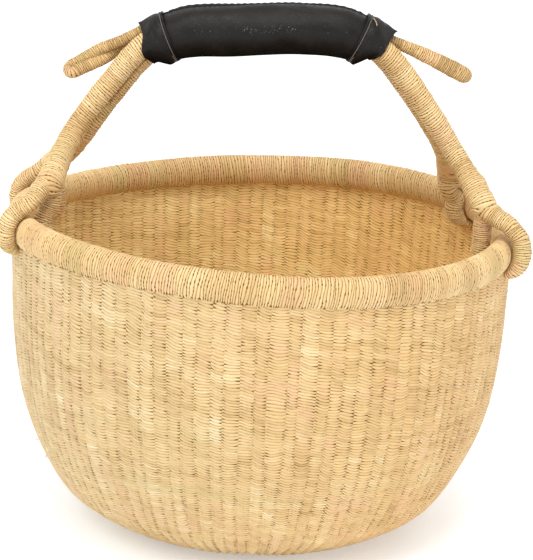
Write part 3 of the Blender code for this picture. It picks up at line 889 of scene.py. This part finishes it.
def make_loop(name, mat, seed):
    curve = loop_curve(name)
    inner = math.radians(LOOPS[name].inner)
    line = Line(curve, (-math.sin(inner), math.cos(inner), 0.0))
    share = line.s / line.length
    room = off_the_rim(curve) - 0.0004
    thickness = np.clip(room, TUCKED_THICKNESS - 0.0004, LEG_THICKNESS)
    width = LEG_WIDTH + 0.25 * (LEG_THICKNESS - thickness)
    wide = partial(np.interp, xp=share, fp=width)
    thick = partial(np.interp, xp=share, fp=thickness)
    loop = wound(name + "_loop", line, wide, thick, seed, tilt=0.5, tilt_at=1.3, segments=22)
    dress(loop, mat, "basket", "straw_wrap", name + "_loop_wrap", name + "_loop_core")


def strand_curve(name):
    """From the crotch above the rim, through the fork and up the arm into the leather."""
    side, depth = name.split("_")
    sign = BACKWARD[depth]
    loop = LOOPS[name]
    crotch = crotch_place(loop)
    way = INWARD[side]
    low, high, start = loop.bend
    xs = np.linspace(fork_x(side) + way * start, MOUTHS[side] + way * 0.012, 5)
    arm = on_arch(xs, sign * PAIR_DEPTH[side], -sign * PAIR_LEAN[side])
    # A long smooth bend from the arm's own direction to the crotch, then on down
    lead = on_arch([fork_x(side) + way * high, fork_x(side) + way * low],
                   sign * (PAIR_DEPTH[side] + np.array([0.0004, 0.0030])),
                   -sign * PAIR_LEAN[side])
    t = np.linspace(0.0, 1.0, 7)[:-1, None]
    climb = lerp(crotch, lead[1], 0.42) + UP * 0.0030
    a, b = crotch, climb
    c, d = lead[1], lead[0]
    bend = a * (1 - t) ** 3 + 3 * b * t * (1 - t) ** 2 + 3 * c * t**2 * (1 - t) + d * t**3
    below = crotch - UP * loop.tail
    turn = math.radians(loop.inner)
    outward = np.array([math.cos(turn), math.sin(turn), 0.0])
    points = np.vstack([[below], bend, lead[:1], arm])
    return dense_curve(points, 20), outward


def make_strand(name, mat, seed):
    curve, outward = strand_curve(name)
    normals = on_arch(curve[:, 0], 0.0, 1.0) - on_arch(curve[:, 0], 0.0, 0.0)
    rise = smoothstep(HINGE_HEIGHT - 0.02, HINGE_HEIGHT + 0.02, curve[:, 2])[:, None]
    line = Line(curve, outward * (1 - rise) + normals * rise)
    share = line.s / line.length
    loop = LOOPS[name]
    split = RIM_HEIGHT + loop.up
    neck = 1 - smoothstep(split - 0.004, split + loop.neck_length, curve[:, 2])
    tip = np.sqrt(np.clip(1 - (1 - np.clip(line.s / 0.009, 0.0, 1.0)) ** 2, 0.05, 1.0))

    def half_size(at, at_neck, at_tip):
        n = np.interp(at, share, neck)
        t = np.interp(at, share, tip)
        return lerp(STRAND_RADIUS - SKIN, at_neck, n) * lerp(at_tip, 1.0, t)

    wide = partial(half_size, at_neck=loop.neck_width, at_tip=0.45)
    thick = partial(half_size, at_neck=NECK_THICKNESS, at_tip=0.5)
    strand = wound(name + "_strand", line, wide, thick, seed, pitch=STRAND_PITCH, tilt=0.6,
                   tilt_at=0.6)
    strand.data.materials.append(mat)
    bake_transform(strand)
    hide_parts(name + "_arm_wrap")


def make_lacing(side, mat):
    """Short straws that lace an arm's two strands together down both grooves."""
    way = INWARD[side]
    across = unit(np.array([-PAIR_DEPTH[side], PAIR_LEAN[side]]))
    first, last = fork_x(side) + way * 0.022, MOUTHS[side] + way * 0.002
    over = np.linspace(-1.0, 1.0, 9)
    pieces = []
    for face in (1.0, -1.0):
        out = np.array([-across[1], across[0]]) * face
        for k in range(LACINGS):
            xs = lerp(first, last, (k + 0.5 + 0.28 * over * face) / LACINGS)
            lift = 0.0064 - 0.0016 * over**2
            place = out * lift[:, None] + across * (over * 0.0034)[:, None]
            co = on_arch(xs, place[:, 0], place[:, 1])
            pieces.append(cord("lacing", co, BACK, LACING_SIZES, seed=90 + k, relief=0.0001,
                               segments=8, tilt=0.5))
    dress(join(side + "_arm_lacing", pieces), mat, "handle", "straw_wrap")


# Ears: the hairpin ends of the grass bundles, turned out above the grip's ends

GRIP_EXIT = 0.0141
EAR_BEARINGS = (41.0, 82.0)
EAR_RADIUS = 0.0045
LEFT_EAR_REACH = np.array([-0.0535, -0.004, -0.0300])
LEFT_EAR_APART = np.array([0.0, -0.76, -0.65])
RIGHT_EAR_REACH = np.array([0.0555, -0.004, -0.0225])
RIGHT_EAR_APART = np.array([0.0, 0.35, 0.94])


def in_grip(x, bearing, distance):
    turn = np.radians(bearing)
    return on_arch(x, distance * np.cos(turn), distance * np.sin(turn))


def ear_roots(side):
    """Where an ear's two halves come out of the grip."""
    return [in_grip(MOUTHS[side], bearing, GRIP_EXIT)[0] for bearing in EAR_BEARINGS]


def make_left_ear(mat):
    """A hairpin: out of the grip, round its tip and back."""
    first, second = ear_roots("left")
    root = (first + second) / 2
    tip_apart = unit(LEFT_EAR_APART)
    spread = EAR_RADIUS - 0.0003
    t = np.linspace(-0.16, 0.86, 7)[:, None]
    way = unit(lerp(unit(first - second), tip_apart, smoothstep(0.0, 1.0, t)))
    centre = root + LEFT_EAR_REACH * t
    ahead = unit(LEFT_EAR_REACH)
    across = unit(tip_apart - ahead * tip_apart.dot(ahead))
    turn = np.radians(np.arange(90.0, -91.0, -30.0))[:, None]
    tip = (across * np.sin(turn) + ahead * np.cos(turn)) * spread
    places = [centre + way * spread, root + LEFT_EAR_REACH * 0.93 + tip]
    curve = dense_curve(np.vstack(places + [(centre - way * spread)[::-1]]), 16)
    ear = wound("left_ear", Line(curve, np.cross(ahead, across)), EAR_RADIUS, EAR_RADIUS,
                seed=61, pitch=EAR_PITCH, relief=0.0003, tilt=0.5, segments=18, lump=0.00015)
    dress(ear, mat, "handle", "straw_wrap", "left_ear_wrap", "right_rope_core")


def make_right_ear(mat):
    """A bundle that widens to a round tip."""
    first, second = ear_roots("right")
    root = (first + second) / 2
    start = root - RIGHT_EAR_REACH * 0.16
    stop = root + RIGHT_EAR_REACH * 1.09
    t = np.linspace(0.0, 1.0, 90)[:, None]
    bow = UP * 0.0015 * np.sin(np.pi * t)
    line = Line(lerp(start, stop, t) + bow, unit(RIGHT_EAR_APART))

    def dome(share):
        past = np.clip((share - 0.90) / 0.10, 0.0, 1.0)
        return np.sqrt(np.clip(1 - past**2, 0.02, 1.0))

    def wide(share):
        return lerp(0.0042, 0.0064, smoothstep(0.08, 0.72, share)) * dome(share)

    def thick(share):
        return 0.0043 * dome(share)

    ear = wound("right_ear", line, wide, thick, seed=67, pitch=EAR_PITCH, relief=0.0003,
                tilt=0.6, segments=20, lump=0.0002)
    dress(ear, mat, "handle", "straw_wrap", "right_ear_wrap", "left_rope_core")


# Leather

GRIP_RADIUS = 0.0197
GRIP_END_RADIUS = 0.0178
GRIP_SAG = 0.0020
CUFF_RADIUS = 0.0203
LEATHER_THICKNESS = 0.0013
CUFFS = {"left": 0.0185, "right": 0.0225}
CUFF_TRIMS = {"left": 0.0, "right": 0.0045}
CUFF_OVERLAP = 0.006
THREAD_RADIUS = 0.00029
THREAD_SIZES = (THREAD_RADIUS, THREAD_RADIUS)
THREAD_INSET = 0.0024
SEAM_BEARING = 78.0
STITCHES = 38
GRIP_STRANDS = ((152.0, 41.0), (332.0, 82.0), (41.0, 152.0), (82.0, -28.0))


def around_arch(x, bearing, distance):
    """Places round the arch: x and distance over a grid whose columns are bearings."""
    turn = np.radians(bearing)
    centre, normal = arch_at(x)
    co = centre + normal * (distance * np.sin(turn) - GRIP_SAG)[..., None]
    co[..., 1] += distance * np.cos(turn)
    return co


def seam_bearing(share):
    """The leather's folded seam wanders a little along the grip."""
    return SEAM_BEARING + 3.0 * np.sin(share * 7.0)


def angle_between(a, b):
    return (a - b + 180.0) % 360.0 - 180.0


def wrinkles(share, bearing, seed, amount, count=26):
    """Creases that wander along the leather and fade out, as a change of radius."""
    dice = np.random.default_rng(seed)
    out = np.zeros(np.broadcast(share, bearing).shape)
    for _ in range(count):
        place, middle = dice.random(), dice.random() * 360.0
        reach, width = 0.05 + 0.16 * dice.random(), 6.0 + 10.0 * dice.random()
        slant = 60.0 * (dice.random() - 0.5)
        gone = angle_between(bearing, middle + slant * (share - place) / reach)
        depth = dice.random() - 0.62
        out = out + depth * np.exp(-(gone / width) ** 2 - ((share - place) / reach) ** 2)
    return out * amount


def shell(name, outer, inner):
    """A closed sleeve: out along the outer face, round the edge, back along the inner."""
    co = np.concatenate([outer, inner[::-1]], axis=0)
    count = co.shape[1]
    u = np.concatenate([np.arange(len(outer)), np.arange(len(inner))[::-1]]) / 10.0
    uv = pairs(u, np.arange(count + 1) / count)
    uv = np.concatenate([uv, uv[:1]], axis=0)
    return grid_mesh(name, co, True, uv, "leather")


def make_grip(mat):
    x_start = MOUTHS["left"] + CUFFS["left"] - CUFF_OVERLAP
    x_stop = MOUTHS["right"] - CUFFS["right"] + CUFF_OVERLAP
    rows, columns = 260, 176
    share = np.linspace(0.0, 1.0, rows)[:, None]
    bearing = (360.0 * np.arange(columns) / columns)[None, :]
    x = lerp(x_start, x_stop, share) + 0 * bearing
    ends = smoothstep(0.0, 0.14, share) * smoothstep(0.0, 0.14, 1 - share)
    radius = lerp(GRIP_END_RADIUS, GRIP_RADIUS - 0.0004, ends) + 0 * bearing
    for enter, leave in GRIP_STRANDS:
        over = angle_between(bearing, lerp(enter, leave, share))
        radius = radius + 0.0006 * np.exp(-(over / 26.0) ** 2)
    fold = angle_between(bearing, seam_bearing(share))
    ridge = np.exp(-(np.abs(fold) / 5.0) ** 3)
    radius = radius + 0.0012 * ridge * (1 + 0.15 * np.sin(share * 190.0))
    radius = radius - 0.0005 * np.exp(-((fold - 9.0) / 4.0) ** 2)
    radius = radius + wrinkles(share, bearing, seed=31, amount=0.0009) * ends
    outer = around_arch(x, bearing + 0 * x, radius)
    inner = around_arch(x, bearing + 0 * x, radius - LEATHER_THICKNESS)
    grip = shell("leather_sleeve", outer, inner[::3])
    dress(grip, mat, "handle", "black_leather", "leather_grip")


def hull_section(bearing, circles):
    """A tight, softly rounded sleeve round a few circles: its (depth, lift) at each bearing."""
    ways = ring_of(np.radians(bearing))
    circles = np.array(circles)
    centres, radii = circles[:, :2], circles[:, 2]
    reach = ways @ centres.T + radii
    weight = np.exp((reach - reach.max(axis=-1, keepdims=True)) / 0.0009)
    weight = weight / weight.sum(axis=-1, keepdims=True)
    return weight @ centres + ways * (weight @ radii)[..., None]


def cuff_surface(side, share, bearing, inset=0.0):
    """The cuff from its mouth (share 0) to its inner edge, round a grid of bearings."""
    trim = CUFF_TRIMS[side]
    length = CUFFS[side] - trim
    way = INWARD[side]
    turn = np.radians(bearing)
    depth, lift = PAIR_DEPTH[side], PAIR_LEAN[side]
    circles = [(-depth, lift, STRAND_RADIUS), (depth, -lift, STRAND_RADIUS)]
    for ear in np.radians(EAR_BEARINGS):
        circles.append((*(GRIP_EXIT * ring_of(ear)), EAR_RADIUS))
    inset = np.broadcast_to(inset, share.shape)[..., None]
    ways = ring_of(turn)
    mouth = hull_section(bearing, circles) + ways * (0.0012 - inset)
    full = ways * (CUFF_RADIUS - inset)
    sag = 0.0009 * np.clip(-np.sin(turn), 0.0, 1.0) ** 2
    full = full * (1 + sag / CUFF_RADIUS)[..., None]
    section = lerp(mouth, full, smoothstep(0.0, 0.62, share)[..., None])
    # Pinched where the thread is pulled tight
    thread_at = 1 - THREAD_INSET / length
    pinch = 1 - 0.04 * np.exp(-(((share - thread_at) * length) / 0.0022) ** 2)
    flare = 1 + 0.03 * np.exp(-((share * length) / 0.0014) ** 2)
    section = section * (pinch * flare)[..., None]
    lean = (0.0045 if side == "left" else -0.0005) * np.sin(turn) * (1 - share)
    edge = 0.0006 * np.sin(turn * 3 + 1.0) * (1 - share)
    x = MOUTHS[side] + way * (trim + share * length + lean + edge)
    centre, normal = arch_at(x)
    co = centre + normal * section[..., 1:]
    co[..., 1] += section[..., 0]
    return co


def make_cuff(side, mat, seed):
    rows, columns = 60, 150
    share = np.linspace(0.0, 1.0, rows)[:, None] + np.zeros((1, columns))
    bearing = (360.0 * np.arange(columns) / columns)[None, :] + 0 * share
    crease = wrinkles(share, bearing, seed, 0.0011, 22)
    outer = cuff_surface(side, share, bearing, -crease)
    inner = cuff_surface(side, share, bearing, LEATHER_THICKNESS - crease)
    if side == "right":
        outer, inner = outer[::-1], inner[::-1]
    cuff = shell(side + "_leather_cuff", outer, inner[::2])
    dress(cuff, mat, "handle", "black_leather", side + "_cuff")


def make_thread_ring(side, mat):
    """A little over one turn of thread pulled tight round a cuff."""
    length = CUFFS[side] - CUFF_TRIMS[side]
    turns, count = 1.2, 260
    bearing = np.linspace(-140.0, -140.0 + 360.0 * turns, count)
    step = (np.arange(count) / (count - 1.0) - 0.5) * turns * 0.0011
    share = 1 - (THREAD_INSET - step) / length
    co = cuff_surface(side, share, bearing, -THREAD_RADIUS * 0.9)
    middle = cuff_surface(side, share, bearing, 0.004)
    ring = cord(side + "_thread", co, unit(co - middle), THREAD_SIZES, seed=71, relief=0.00008)
    dress(ring, mat, "handle", "waxed_thread", side + "_cuff_thread")


def make_thread_end(mat):
    """The cut end of the right cuff's thread, lying loose on the leather."""
    t = np.linspace(0.0, 1.0, 12)
    co = cuff_surface("right", 0.84 - 0.20 * t, 108.0 + 24.0 * t, -0.0005 - 0.0010 * t)
    end = cord("thread_end", co, UP, (0.0005, 0.0004), seed=73, relief=0.00008)
    dress(end, mat, "handle", "waxed_thread")


def make_seam_stitches(mat):
    """Short stitches that close the leather beside its folded seam."""
    first = MOUTHS["left"] + CUFFS["left"] + 0.003
    last = MOUTHS["right"] - CUFFS["right"] - 0.003
    lift = 0.0009 * np.sin(np.pi * np.linspace(0.0, 1.0, 14)) ** 0.5
    pieces = []
    for k in range(STITCHES):
        share = (k + np.linspace(0.12, 0.88, 14)) / STITCHES
        x = lerp(first, last, share)
        co = around_arch(x, seam_bearing(share) + 8.5, GRIP_RADIUS - 0.0002 + lift)
        pieces.append(cord("stitch", co, BACK, THREAD_SIZES, seed=80 + k, relief=0.00006,
                           segments=8, pitch=0.0012))
    seam = join("seam_stitches", pieces)
    dress(seam, mat, "handle", "waxed_thread", "grip_seam_thread")


# Studio


def make_studio():
    bpy.ops.mesh.primitive_plane_add(size=60.0, location=(0.0, 3.0, -0.0002))
    floor = bpy.context.object
    floor.name = "studio_floor"
    g = Shade("pale_floor")
    place = g.node("ShaderNodeTexCoord").outputs["Object"]
    soft = g.noise(place, 3.0, 2.0)
    tone = g.ramp(soft, ((0.3, (0.86, 0.89, 0.92)), (0.7, (0.88, 0.91, 0.94))))
    floor.data.materials.append(g.finish(
        Base_Color=tone, Roughness=0.9,
        Emission_Color=(0.9, 0.95, 1.0, 1.0), Emission_Strength=0.32,
    ))
    world = bpy.data.worlds.new("studio")
    bpy.context.scene.world = world
    world.use_nodes = True
    sky = world.node_tree.nodes["Background"]
    sky.inputs["Color"].default_value = (1.0, 1.0, 1.0, 1.0)
    sky.inputs["Strength"].default_value = 0.97
    for name, place, size, energy in (
        ("key", (-1.3, -1.6, 2.1), 1.4, 17.0),
        ("fill", (1.6, -1.4, 1.2), 1.6, 1.0),
        ("top", (0.1, -0.9, 2.2), 0.8, 20.0),
    ):
        lamp = bpy.data.lights.new(name, "AREA")
        lamp.size = size
        lamp.energy = energy
        obj = bpy.data.objects.new(name, lamp)
        obj.location = place
        aim = Vector((0.0, 0.0, 0.18)) - obj.location
        obj.rotation_euler = aim.to_track_quat("-Z", "Y").to_euler()
        bpy.context.scene.collection.objects.link(obj)


def make_camera():
    tilt = math.radians(17.67)
    roll = 0.0454
    distance = 1.9127
    target_height = 0.130
    data = bpy.data.cameras.new("camera")
    data.sensor_width = 36.0
    data.lens = 151.07
    data.shift_x = 0.0191
    data.shift_y = 0.1395
    data.clip_end = 100.0
    camera = bpy.data.objects.new("camera", data)
    eye = Vector((0.0, -distance * math.cos(tilt), target_height + distance * math.sin(tilt)))
    turn = Matrix.Rotation(math.pi / 2 - tilt, 4, "X") @ Matrix.Rotation(roll, 4, "Z")
    camera.matrix_world = Matrix.Translation(eye) @ turn
    bpy.context.scene.collection.objects.link(camera)
    bpy.context.scene.camera = camera
    bpy.context.scene.view_settings.view_transform = "Standard"


straw_bowl = twined_straw("twined_straw", 0.55)
straw_rim = wound_straw("rim_straw", 0.47, 21.0, edge_at=0.150)
straw_rope = wound_straw("rope_straw", 0.54, 20.0)
straw_ear = wound_straw("ear_straw", 0.20, 11.0)
# The lacing straw is darker than the rest, partly as painted shade in the arms' grooves
lacing_and_groove_shade = thread_stuff("lacing_straw", (0.30, 0.17, 0.055), (0.62, 0.42, 0.18))
leather = worn_leather("worn_black_leather")
thread = thread_stuff("waxed_thread", (0.08, 0.068, 0.056), (0.30, 0.265, 0.22))
tan_thread = thread_stuff("tan_thread_end", (0.34, 0.20, 0.12), (0.70, 0.48, 0.32))
straw_fibre = thread_stuff("loose_straw", (0.46, 0.30, 0.13), (0.84, 0.64, 0.36))
seam_thread = thread_stuff("seam_thread", (0.012, 0.011, 0.01), (0.05, 0.043, 0.038))

make_bowl(straw_bowl)
make_stray_fibres(straw_fibre)
make_rim(straw_rim)
for number, loop_name in enumerate(LOOPS):
    make_loop(loop_name, straw_rope, seed=20 + number)
    make_strand(loop_name, straw_rope, seed=40 + number)
make_left_ear(straw_ear)
make_right_ear(straw_ear)
make_grip(leather)
for cuff_side in ("left", "right"):
    make_lacing(cuff_side, lacing_and_groove_shade)
    make_cuff(cuff_side, leather, seed=51 if cuff_side == "left" else 57)
    make_thread_ring(cuff_side, thread)
make_thread_end(tan_thread)
make_seam_stitches(seam_thread)
make_studio()
make_camera()
